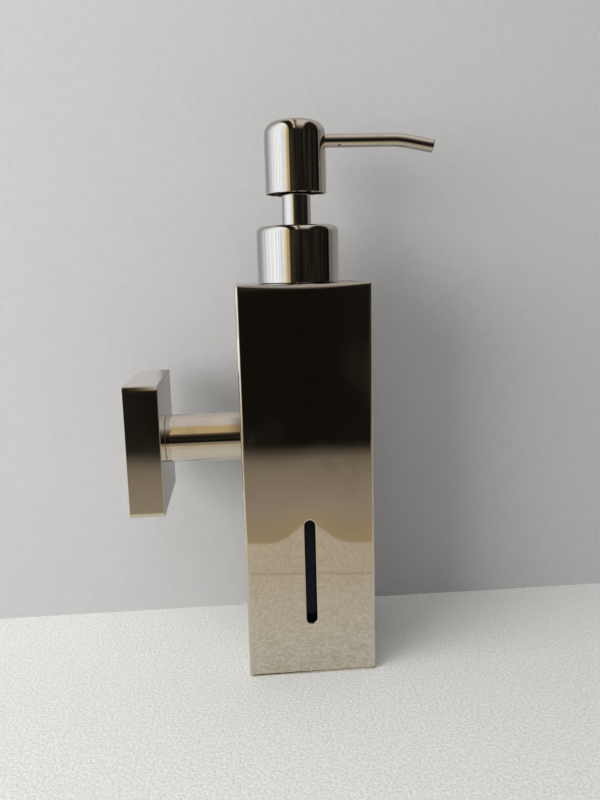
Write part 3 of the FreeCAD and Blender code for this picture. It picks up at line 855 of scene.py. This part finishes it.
def on_cup(flat, wall):
    radius = cup_radius_at(spout_z + flat.y, wall)
    return Vector((pump_x + sqrt(max(radius ** 2 - flat.x ** 2, 0)), flat.x, spout_z + flat.y))


pierce(bm, (grid, inner_grid), hole_rows, hole_columns, lambda point: Vector((point.y, point.z - spout_z)),
       on_cup, CUP_WALL, spout_radius + 0.03 * MM, 0.08 * MM, 8)
finished("head_cup", bm, "head", upright_steel, ["head_shell"])

# %% [markdown]
# ## Spout
# The spout is a thin tube that leaves the head level, bends once and runs straight down to a plain cut end.
# A curve that follows that rule, swept with a circle, is exactly what Geometry Nodes are for: the rule's
# numbers are the tree's inputs. The tube then gets its wall from Solidify and its cut edges from Bevel.

# %% Node tree for a bent tube


def new_tree(name, inputs):
    tree = bpy.data.node_groups.new(name, "GeometryNodeTree")
    for socket, default in inputs.items():
        kind = "Int" if isinstance(default, int) else "Vector" if isinstance(default, tuple) else "Float"
        made = tree.interface.new_socket(socket, in_out="INPUT", socket_type="NodeSocket" + kind)
        made.default_value = default
    tree.interface.new_socket("Material", in_out="INPUT", socket_type="NodeSocketMaterial")
    tree.interface.new_socket("Geometry", in_out="OUTPUT", socket_type="NodeSocketGeometry")
    given = tree.nodes.new("NodeGroupInput").outputs
    return tree, given


def end_tree(tree, geometry, given):
    smooth = put(tree, "GeometryNodeSetShadeSmooth", i0=geometry)
    real = put(tree, "GeometryNodeRealizeInstances", i0=smooth.outputs[0])
    dressed = put(tree, "GeometryNodeSetMaterial", Geometry=real.outputs[0], Material=given["Material"])
    out = tree.nodes.new("NodeGroupOutput")
    tree.links.new(dressed.outputs[0], out.inputs["Geometry"])


def grown(name, tree, material, values, extras=()):
    """Plain mesh object from a tree, with its inputs set by identifier, and any finishing modifiers."""
    holder = bpy.data.objects.new(name + "_maker", bpy.data.meshes.new(name + "_maker"))
    scene.collection.objects.link(holder)
    maker = holder.modifiers.new("maker", "NODES")
    maker.node_group = tree
    for item in tree.interface.items_tree:
        if item.item_type == "SOCKET" and item.in_out == "INPUT":
            maker[item.identifier] = material if item.name == "Material" else values[item.name]
    for kind, settings in extras:
        extra = holder.modifiers.new(kind.lower(), kind)
        for key, value in settings.items():
            setattr(extra, key, value)
    graph = bpy.context.evaluated_depsgraph_get()
    mesh = bpy.data.meshes.new_from_object(holder.evaluated_get(graph))
    holder.modifiers.clear()
    bpy.data.objects.remove(holder)
    mesh.name = name
    piece = bpy.data.objects.new(name, mesh)
    scene.collection.objects.link(piece)
    bpy.context.view_layer.update()
    return piece


bent_tube, given = new_tree("bent tube", {"Start": (0.0, 0.0, 0.0), "Straight": 0.03, "Bend Radius": 0.04,
                                          "Bend Angle": 0.2, "Reach": 0.05, "Radius": 0.0025, "Points": 120,
                                          "Sides": 64})
unit = put(bent_tube, "GeometryNodeCurvePrimitiveLine", Start=(0.0, 0.0, 0.0), End=(1.0, 0.0, 0.0))
fine = put(bent_tube, "GeometryNodeResampleCurve", Curve=unit.outputs[0], Count=given["Points"])
share = put(bent_tube, "GeometryNodeSplineParameter").outputs["Factor"]
run = times(bent_tube, share, given["Reach"])
past = maths(bent_tube, "MAXIMUM", maths(bent_tube, "SUBTRACT", run, given["Straight"]), 0.0)
arc_run = times(bent_tube, given["Bend Radius"], maths(bent_tube, "SINE", given["Bend Angle"]))
in_bend = maths(bent_tube, "MINIMUM", past, arc_run)
square = maths(bent_tube, "SUBTRACT", times(bent_tube, given["Bend Radius"], given["Bend Radius"]),
               times(bent_tube, in_bend, in_bend))
bend_drop = maths(bent_tube, "SUBTRACT", given["Bend Radius"], maths(bent_tube, "SQRT", square))
end_drop = times(bent_tube, maths(bent_tube, "SUBTRACT", past, in_bend),
                 maths(bent_tube, "TANGENT", given["Bend Angle"]))
drop = plus(bent_tube, bend_drop, end_drop)
line = put(bent_tube, "ShaderNodeCombineXYZ", X=run, Z=times(bent_tube, drop, -1.0))
placed = put(bent_tube, "ShaderNodeVectorMath", {"operation": "ADD"}, i0=line.outputs[0], i1=given["Start"])
path = put(bent_tube, "GeometryNodeSetPosition", Geometry=fine.outputs[0], Position=placed.outputs[0])
ring = put(bent_tube, "GeometryNodeCurvePrimitiveCircle", Resolution=given["Sides"], Radius=given["Radius"])
tube = put(bent_tube, "GeometryNodeCurveToMesh", Curve=path.outputs[0], Profile_Curve=ring.outputs[0])
end_tree(bent_tube, tube.outputs[0], given)
print("bent tube tree has", len(bent_tube.nodes), "nodes")

# %% Spout
SPOUT_WALL = 0.5 * MM
SPOUT_START, SPOUT_STRAIGHT, SPOUT_BEND = 4.0 * MM, 37.0 * MM, 38.0 * MM
SPOUT_ANGLE = radians(11)
SPOUT_REACH = 53.6 * MM
spout = grown("spout", bent_tube, level_steel,
              {"Start": (pump_x + SPOUT_START, 0.0, spout_z), "Straight": SPOUT_STRAIGHT - SPOUT_START,
               "Bend Radius": SPOUT_BEND, "Bend Angle": SPOUT_ANGLE, "Reach": SPOUT_REACH - SPOUT_START,
               "Radius": spout_radius, "Points": 110, "Sides": 64},
              [("SOLIDIFY", {"thickness": SPOUT_WALL, "offset": -1.0, "use_even_offset": True}),
               ("BEVEL", {"width": 0.09 * MM, "segments": 2, "limit_method": "ANGLE",
                          "angle_limit": radians(50), "harden_normals": False})])
settle(spout, "head", level_steel, ["nozzle_tube"])
reach_error = (max(v.co.x for v in spout.data.vertices) - spout_high.x) / MM
print("spout tip differs from its box by", round(reach_error, 3), "mm")

# %% [markdown]
# ## Coils
# The return spring and the screw thread on the bottle's neck are both a round section that climbs along a
# helix, so one tree makes both. Its Closing input slows the climb at the two ends, as a coiling machine
# does to give a spring flat ends; at zero the climb is even, as on a thread.

# %% Node tree for a coil
coil, given = new_tree("coil", {"Base": (0.0, 0.0, 0.0), "Coil Radius": 0.0045, "Wire Radius": 0.0004,
                                "Height": 0.02, "Turns": 7.0, "Closing": 0.0, "Points": 48, "Sides": 14})
helix = put(coil, "GeometryNodeCurveSpiral", Resolution=given["Points"], Rotations=given["Turns"],
            Start_Radius=given["Coil Radius"], End_Radius=given["Coil Radius"], Height=given["Height"])
share = put(coil, "GeometryNodeSplineParameter").outputs["Factor"]
swing = maths(coil, "SINE", times(coil, share, tau))
lag = times(coil, times(coil, swing, given["Closing"]), -1 / tau)
shift = put(coil, "ShaderNodeCombineXYZ", Z=times(coil, lag, given["Height"]))
offset = put(coil, "ShaderNodeVectorMath", {"operation": "ADD"}, i0=shift.outputs[0], i1=given["Base"])
climb = put(coil, "GeometryNodeSetPosition", Geometry=helix.outputs[0], Offset=offset.outputs[0])
section = put(coil, "GeometryNodeCurvePrimitiveCircle", Resolution=given["Sides"],
              Radius=given["Wire Radius"])
wire = put(coil, "GeometryNodeCurveToMesh", Curve=climb.outputs[0], Profile_Curve=section.outputs[0],
           Fill_Caps=True)
end_tree(coil, wire.outputs[0], given)
print("coil tree has", len(coil.nodes), "nodes")

# %% Return spring and neck thread
spring_low, spring_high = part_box("return_spring")
SPRING_WIRE = 0.45 * MM
SPRING_TURNS = 7.0
spring = grown("spring_coil", coil, wire_steel,
               {"Base": (pump_x, 0.0, spring_low.z + SPRING_WIRE), "Coil Radius": 4.5 * MM,
                "Wire Radius": SPRING_WIRE, "Height": spring_high.z - spring_low.z - 2 * SPRING_WIRE,
                "Turns": SPRING_TURNS, "Closing": 0.62, "Points": 40, "Sides": 14})
settle(spring, "pump", wire_steel, ["return_spring"])
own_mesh(spring)

NECK_RADIUS = 12.5 * MM
THREAD_START, THREAD_HEIGHT, THREAD_TURNS = 3.5 * MM, 7.0 * MM, 1.6
thread = grown("neck_thread", coil, blown_bottle,
               {"Base": (pump_x, 0.0, plate_high.z + THREAD_START), "Coil Radius": NECK_RADIUS - 0.1 * MM,
                "Wire Radius": 0.85 * MM, "Height": THREAD_HEIGHT, "Turns": THREAD_TURNS, "Closing": 0.0,
                "Points": 90, "Sides": 12})
settle(thread, "housing", blown_bottle)

# %% [markdown]
# ## Carried nodes
# The other nodes already have the right shape: the bracket and screws inside the flange, the bottle behind
# the slot, and the pump's insides. They keep their meshes and get real finishes.

# %% Finishes for the carried nodes
FINISHES = {
    sheet_steel: ["wall_bracket", "flange_set_screw", "flange_screw", "flange_lock_washer",
                  "arm_insert_flange_end", "arm_insert_body_end", "body_screw"],
    black_moulded: ["base_plug", "closure_cap", "head_core"],
    blown_bottle: ["liner_bottle"],
    natural_plastic: ["pump_housing", "guide_collar", "dip_tube", "ball_cage", "stem_tube"],
    seal_plastic: ["piston"],
    seal_rubber: ["housing_gasket"],
    ball_steel: ["inlet_ball", "outlet_ball"],
}
for material, names in FINISHES.items():
    for name in names:
        for slot in nodes[name].material_slots:
            slot.material = material
    print(material.name, "on", ", ".join(names))
carried = sum(len(names) for names in FINISHES.values())
replaced = sum(len(piece.get("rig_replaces", [])) for piece in scene.objects)
print(carried, "nodes carried,", replaced, "replaced, of", len(nodes))

# %% [markdown]
# ## Room
# Polished steel shows its surroundings more than itself, so the room is part of its look. A plain pale floor
# and a pale wall close behind are real planes, and the floor goes on behind the wall for views from the back.
# Reflections see the floor in front in painted colours instead: a painted reflection of a mat and of a
# glowing stone band. The rest of the room is a soft gradient in the world, which only reflections see: a big
# window on the left, a warm strip beside it, a dark room in front and a pale wall behind. The planes vanish
# when seen from behind.

# %% Floor and wall
WALL_Y = 41 * MM


def plane(name, corners, material):
    mesh = bpy.data.meshes.new(name)
    mesh.from_pydata(corners, [], [(0, 1, 2, 3)])
    mesh.materials.append(material)
    made = bpy.data.objects.new(name, mesh)
    scene.collection.objects.link(made)
    return made


def matte(name, colour, shade, grain_scale, grain_depth):
    """Matte surface that is clear from behind."""
    material, tree, shader, place = blank_material(name)
    grain = noise(tree, place, grain_scale, 4.0, 0.65)
    mottled = blend_colour(tree, grade(tree, grain, 0.3, 0.7), shade, colour)
    tree.links.new(mottled, shader.inputs["Base Color"])
    shader.inputs["Roughness"].default_value = 0.9
    shader.inputs["Specular IOR Level"].default_value = 0.2
    bump = put(tree, "ShaderNodeBump", Strength=1.0, Distance=grain_depth, Height=grain)
    tree.links.new(bump.outputs[0], shader.inputs["Normal"])
    clear = tree.nodes.new("ShaderNodeBsdfTransparent")
    behind = tree.nodes.new("ShaderNodeNewGeometry").outputs["Backfacing"]
    out = next(node for node in tree.nodes if node.type == "OUTPUT_MATERIAL")
    sided = put(tree, "ShaderNodeMixShader", i0=behind, i1=shader.outputs[0], i2=clear.outputs[0])
    tree.links.new(sided.outputs[0], out.inputs[0])
    return material, tree, place, shader, sided


floor_paint, tree, place, floor_shader, floor_side = matte(
    "pale floor", (0.97, 0.97, 0.96), (0.74, 0.74, 0.73), 1000.0, 2.2e-4)
# Painted reflection: glossy rays see the floor in colours that are not its own. Near the object a pale mat is
# painted, warmer than the floor, with painted shade that deepens farther in front and one painted dark fold
# line. It ends a hand's width in front. A glowing band painted as brown stone follows, and then the room
# shows.
# Distances in front for the painted reflection: the painted mat's end, its painted fold line, and the end of
# the painted stone band.
MAT_END, MAT_FOLD, STONE_END = 0.167, 0.123, 0.378
apart = put(tree, "ShaderNodeSeparateXYZ", Vector=place)
ahead = times(tree, apart.outputs["Y"], -1.0)
slanted = plus(tree, ahead, times(tree, apart.outputs["X"], 0.12))
mirrored = tree.nodes.new("ShaderNodeLightPath").outputs["Is Glossy Ray"]
speckle = noise(tree, place, 700.0, 5.0, 0.7)
# Painted reflection with painted shade: the mat colour that only reflections see turns darker and warmer from
# 3 to 15 cm in front, and speckle mixes a paler and a darker painted tone.
away = grade(tree, ahead, 0.03, 0.15)
painted_reflection_pale = blend_colour(tree, away, (0.90, 0.90, 0.82), (0.76, 0.68, 0.54))
painted_reflection_dark = blend_colour(tree, away, (0.66, 0.61, 0.51), (0.56, 0.46, 0.34))
painted_mat_reflection = blend_colour(tree, grade(tree, speckle, 0.35, 0.65), painted_reflection_dark, painted_reflection_pale)
# Painted shade: one thin dark line across the painted mat, where a fold would be, seen only in reflections.
from_painted_fold = maths(tree, "ABSOLUTE", maths(tree, "SUBTRACT", slanted, MAT_FOLD + 0.009))
painted_fold_shade = grade(tree, from_painted_fold, 0.0018, 0.0004)
painted_mat_reflection = blend_colour(tree, times(tree, painted_fold_shade, 0.35), painted_mat_reflection, (0.25, 0.20, 0.14))
# Glossy rays get the painted mat reflection in place of the floor's own colour.
daylit = floor_shader.inputs["Base Color"].links[0].from_socket
tree.links.new(blend_colour(tree, mirrored, daylit, painted_mat_reflection), floor_shader.inputs["Base Color"])
# Painted reflection: past the painted mat's end, glossy rays see the floor glow as a band painted as brown
# stone. The band is darker farther in front. Past STONE_END they see through to the world's room.
patchy = noise(tree, place, 28.0, 4.0, 0.6)
painted_stone_reflection = ramp(tree, times(tree, plus(tree, ahead, times(tree, patchy, 0.02)), 2.0),
             [(0.36, (0.40, 0.31, 0.19)), (0.48, (0.34, 0.285, 0.21)), (0.66, (0.27, 0.225, 0.165)),
              (0.78, (0.16, 0.13, 0.095))])
# Painted reflection: the floor glows here though nothing lights it.
painted_reflection_glow = put(tree, "ShaderNodeEmission", Color=painted_stone_reflection, Strength=1.0)
through = tree.nodes.new("ShaderNodeBsdfTransparent")
lumpy = plus(tree, ahead, times(tree, patchy, 0.03))
beyond = grade(tree, lumpy, STONE_END - 0.01, STONE_END + 0.06)
far_part = put(tree, "ShaderNodeMixShader", i0=beyond, i1=painted_reflection_glow.outputs[0], i2=through.outputs[0])
# Only glossy rays past the mat's end get the painted stone glow or the room. All other rays see the lit
# floor.
past_mat = grade(tree, slanted, MAT_END + 0.009, MAT_END + 0.011)
floor_mix = put(tree, "ShaderNodeMixShader", i0=times(tree, mirrored, past_mat),
                i1=floor_shader.outputs[0], i2=far_part.outputs[0])
tree.links.new(floor_mix.outputs[0], floor_side.inputs[1])
wall_paint = matte("pale wall", (0.52, 0.52, 0.525), (0.50, 0.50, 0.505), 300.0, 2e-5)[0]
FAR = 3.0


def floor_corners(front, back):
    return [(-FAR, front, floor_z), (FAR, front, floor_z), (FAR, back, floor_z), (-FAR, back, floor_z)]


floor = plane("floor", floor_corners(-FAR, WALL_Y), floor_paint)
wall = plane("wall", [(-FAR, WALL_Y, floor_z), (FAR, WALL_Y, floor_z), (FAR, WALL_Y, FAR),
                      (-FAR, WALL_Y, FAR)], wall_paint)
floor_behind = plane("floor_behind", floor_corners(WALL_Y, FAR), floor_paint)
wall.visible_glossy = floor_behind.visible_glossy = False
print("wall", WALL_Y / MM, "mm behind the axis; faces look",
      [tuple(round(c) for c in side.data.polygons[0].normal) for side in (floor, wall)])

# %% World and lights
world = bpy.data.worlds.new("studio")
scene.world = world
world.use_nodes = True
tree = world.node_tree
tree.nodes.clear()
direction = tree.nodes.new("ShaderNodeTexCoord").outputs["Generated"]
apart = put(tree, "ShaderNodeSeparateXYZ", Vector=direction)
azimuth = maths(tree, "ARCTAN2", apart.outputs["X"], times(tree, apart.outputs["Y"], -1.0))
turned_by = put(tree, "ShaderNodeMapRange", i0=azimuth, i1=-pi, i2=pi).outputs[0]
height = put(tree, "ShaderNodeMapRange", i0=maths(tree, "ARCSINE", apart.outputs["Z"]), i1=-pi / 2,
             i2=pi / 2).outputs[0]


def at(degrees):
    return (degrees + 180) / 360


def up_at(degrees):
    return (degrees + 90) / 180


WHITE, GOLD, BLACK = (1.36, 1.44, 1.54), (0.62, 0.47, 0.25), (0.004, 0.004, 0.003)
PALE, CREAM = (0.42, 0.41, 0.40), (0.68, 0.63, 0.58)
# Round the room at eye height: pale wall behind, window on the left, warm strip, dark room, grey wall.
band = ramp(tree, turned_by, [
    (at(-180), PALE), (at(-172), (0.60, 0.59, 0.58)), (at(-150), (0.46, 0.47, 0.49)),
    (at(-131), (0.40, 0.42, 0.46)), (at(-104), (0.98, 1.02, 1.10)), (at(-87), WHITE), (at(-58), WHITE),
    (at(-50), (0.95, 1.08, 1.30)),
    (at(-43), (1.20, 1.22, 1.10)), (at(-37), (1.0, 0.86, 0.60)), (at(-32), GOLD), (at(-27), GOLD),
    (at(-24.5), (0.05, 0.035, 0.02)), (at(-14), (0.030, 0.027, 0.021)), (at(-6), (0.009, 0.008, 0.006)),
    (at(5), (0.008, 0.007, 0.005)), (at(25), (0.012, 0.011, 0.008)), (at(60), (0.008, 0.008, 0.006)),
    (at(92), BLACK), (at(97), (0.23, 0.22, 0.21)), (at(103), (0.17, 0.165, 0.16)),
    (at(118), (0.31, 0.28, 0.27)), (at(155), (0.32, 0.31, 0.30)), (at(172), (0.22, 0.215, 0.205)),
    (at(180), PALE)])
# Posts give the window's reflection its upright lines.
post_place = put(tree, "ShaderNodeCombineXYZ", X=times(tree, turned_by, 110.0)).outputs[0]
posts = noise(tree, post_place, 1.0, 3.0)
in_window = grade(tree, turned_by, at(-35), at(-45))
shown_posts = times(tree, grade(tree, posts, 0.48, 0.60, 0.0, 0.45), in_window)
band = blend_colour(tree, shown_posts, band, (0.02, 0.02, 0.03))
# The dark side is a room without lamps: noise alone gives it uneven dull tones with fine upright streaks.
patch_place = put(tree, "ShaderNodeCombineXYZ", X=times(tree, turned_by, 30.0),
                  Y=times(tree, height, 14.0)).outputs[0]
patches = grade(tree, noise(tree, patch_place, 1.0, 2.0), 0.40, 0.68)
streak_place = put(tree, "ShaderNodeCombineXYZ", X=times(tree, turned_by, 500.0),
                   Y=times(tree, height, 12.0)).outputs[0]
streaks = grade(tree, noise(tree, streak_place, 1.0, 4.0, 0.6), 0.30, 0.75)
dark_side = times(tree, grade(tree, turned_by, at(-25), at(-18)),
                  grade(tree, turned_by, at(90), at(70)))
dull = times(tree, times(tree, patches, streaks), dark_side)
band = blend_colour(tree, dull, band, (0.060, 0.053, 0.040))
# Overhead, by how far a direction is tipped from front over the top to the back: a dark ceiling, except for a
# warm lamp to the left of the middle and a cream panel to its right.
tip = maths(tree, "ARCTAN2", apart.outputs["Z"], times(tree, apart.outputs["Y"], -1.0))
tipped = put(tree, "ShaderNodeMapRange", i0=tip, i1=-pi, i2=pi).outputs[0]
ceiling = ramp(tree, tipped, [(at(10), (0.012, 0.011, 0.007)), (at(104), (0.02, 0.016, 0.010)),
                              (at(116), (0.42, 0.38, 0.33)), (at(180), PALE)])
lamp = ramp(tree, tipped, [(at(10), (0.03, 0.018, 0.012)), (at(26), (0.12, 0.08, 0.05)), (at(32), GOLD),
                           (at(62), GOLD), (at(72), CREAM), (at(110), CREAM), (at(180), PALE)])
panel = ramp(tree, tipped, [(at(12), (0.03, 0.025, 0.015)), (at(30), (0.11, 0.08, 0.06)),
                            (at(47), (0.33, 0.28, 0.24)), (at(62), CREAM), (at(100), CREAM),
                            (at(125), (0.45, 0.42, 0.39)), (at(180), PALE)])


def strip(middle, half_width, soft):
    """Mask round a sideways component of the direction."""
    aside = maths(tree, "ABSOLUTE", maths(tree, "SUBTRACT", apart.outputs["X"], middle))
    return grade(tree, aside, half_width + soft, half_width - soft)


overhead = blend_colour(tree, strip(-0.066, 0.058, 0.02), ceiling, lamp)
overhead = blend_colour(tree, strip(0.26, 0.19, 0.07), overhead, panel)
rising = grade(tree, height, up_at(12), up_at(26))
not_window = grade(tree, apart.outputs["X"], -0.45, -0.38)
room = blend_colour(tree, times(tree, rising, not_window), band, overhead)
seen = put(tree, "ShaderNodeBackground", Color=room, Strength=1.0)
plain = put(tree, "ShaderNodeBackground", Color=(0.82, 0.82, 0.82, 1), Strength=0.20)
pale_view = put(tree, "ShaderNodeBackground", Color=(0.62, 0.62, 0.62, 1), Strength=1.0)
light_path = tree.nodes.new("ShaderNodeLightPath").outputs
viewed = put(tree, "ShaderNodeMixShader", i0=light_path["Is Camera Ray"], i1=plain.outputs[0],
             i2=pale_view.outputs[0])
both = put(tree, "ShaderNodeMixShader", i0=light_path["Is Glossy Ray"], i1=viewed.outputs[0],
           i2=seen.outputs[0])
out = tree.nodes.new("ShaderNodeOutputWorld")
tree.links.new(both.outputs[0], out.inputs[0])


def area_light(name, place, aim, width, tall, power, colour):
    data = bpy.data.lights.new(name, "AREA")
    data.shape = "RECTANGLE"
    data.size, data.size_y, data.energy, data.color = width, tall, power, colour
    light = bpy.data.objects.new(name, data)
    scene.collection.objects.link(light)
    light.location = place
    light.rotation_euler = (Vector(aim) - Vector(place)).to_track_quat("-Z", "Y").to_euler()
    light.visible_glossy = False
    return light


window = area_light("window", (-1.10, -0.64, 0.24), (0.06, 0.0, 0.0), 1.3, 0.8, 23.0, (1.0, 0.99, 0.97))
sky = area_light("sky", (-0.3, -0.7, 1.3), (0.05, -0.15, -0.09), 1.4, 1.0, 8.5, (1.0, 0.99, 0.97))
scene.view_settings.view_transform = "Standard"
scene.view_settings.look = "None"
print("lights:", window.name, window.data.energy, "W,", sky.name, sky.data.energy, "W")
